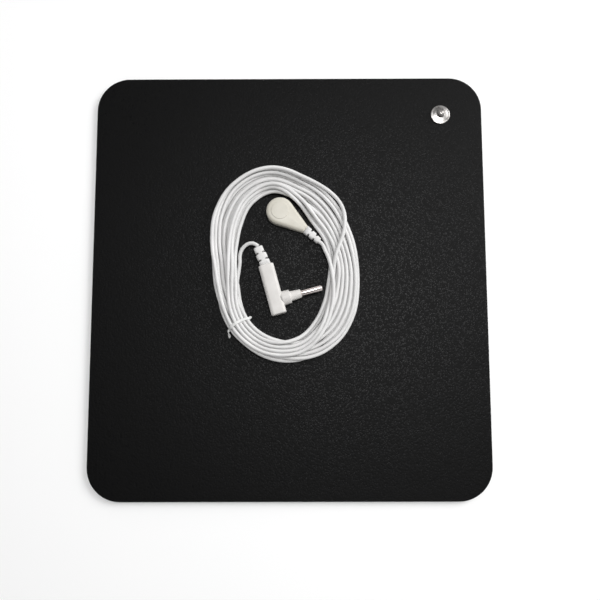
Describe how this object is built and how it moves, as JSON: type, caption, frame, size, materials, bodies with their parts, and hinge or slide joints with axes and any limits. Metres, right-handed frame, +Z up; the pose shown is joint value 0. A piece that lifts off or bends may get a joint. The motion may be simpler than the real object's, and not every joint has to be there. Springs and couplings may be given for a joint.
{
  "type": "earthing mouse pad",
  "caption": "Rectangular black leatherette mat with rounded corners and a snap stud, with its white earthing lead coiled and tied on top, ending in a snap connector and a right-angle plug.",
  "frame": {"origin": "middle of the mat's underside, where it lies on the desk", "axes": "+Z up out of the working face, +Y along the mat's longer side towards the edge with the snap stud, +X towards the stud's side"},
  "size_m": [0.25, 0.27, 0.0123],
  "materials": {
    "mat_leatherette": "fine pebble grain, low sheen",
    "stud_metal": "polished nickel plating",
    "eyelet_metal": "plain nickel plating",
    "cord_sheath": "satin white sheath",
    "tie_plastic": "thin white plastic band",
    "plug_plastic": "moulded white, satin",
    "pin_metal": "turned and nickel plated",
    "snap_plastic": "moulded ivory, soft gloss",
    "clip_metal": "plain nickel plating",
    "relief_plastic": "moulded white, satin"
  },
  "bodies": {
    "root": {"mat": "mat_leatherette", "snap_stud": "stud_metal", "stud_eyelet": "eyelet_metal", "cord_coil": "cord_sheath", "cord_plug_lead": "cord_sheath", "cord_snap_lead": "cord_sheath", "coil_tie": "tie_plastic", "plug_body": "plug_plastic", "plug_pin": "pin_metal", "snap_body": "snap_plastic", "snap_socket_clip": "clip_metal", "snap_strain_relief": "relief_plastic"}
  },
  "joints": []
}
